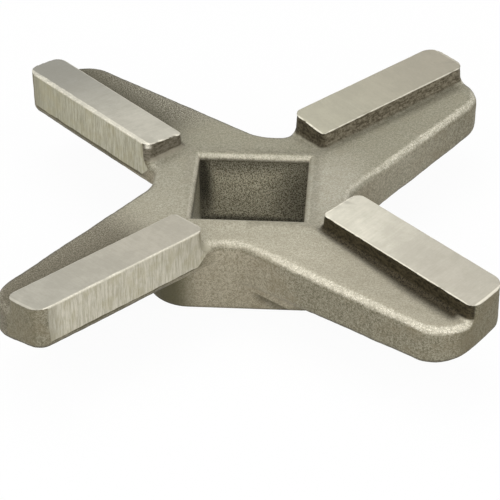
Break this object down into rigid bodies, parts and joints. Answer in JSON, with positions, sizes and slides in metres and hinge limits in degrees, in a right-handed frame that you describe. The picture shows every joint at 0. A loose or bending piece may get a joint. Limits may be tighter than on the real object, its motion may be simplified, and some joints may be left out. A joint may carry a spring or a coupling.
{
  "type": "meat grinder knife",
  "caption": "Cross-shaped knife for a meat grinder, cast in one piece with a square drive hole and ground cutting pads.",
  "frame": {"origin": "on the drive hole's axis, at the bottom of the boss that the knife stands on", "axes": "+Z along the drive axis, towards the cutting edges; X and Y along the sides of the square hole, with the arms on the diagonals"},
  "size_m": [0.061, 0.061, 0.0127],
  "materials": {
    "cast_steel": "grainy as cast, with satin ground pad tops and leading faces"
  },
  "bodies": {
    "root": {"grinder_knife": "cast_steel"}
  },
  "joints": []
}
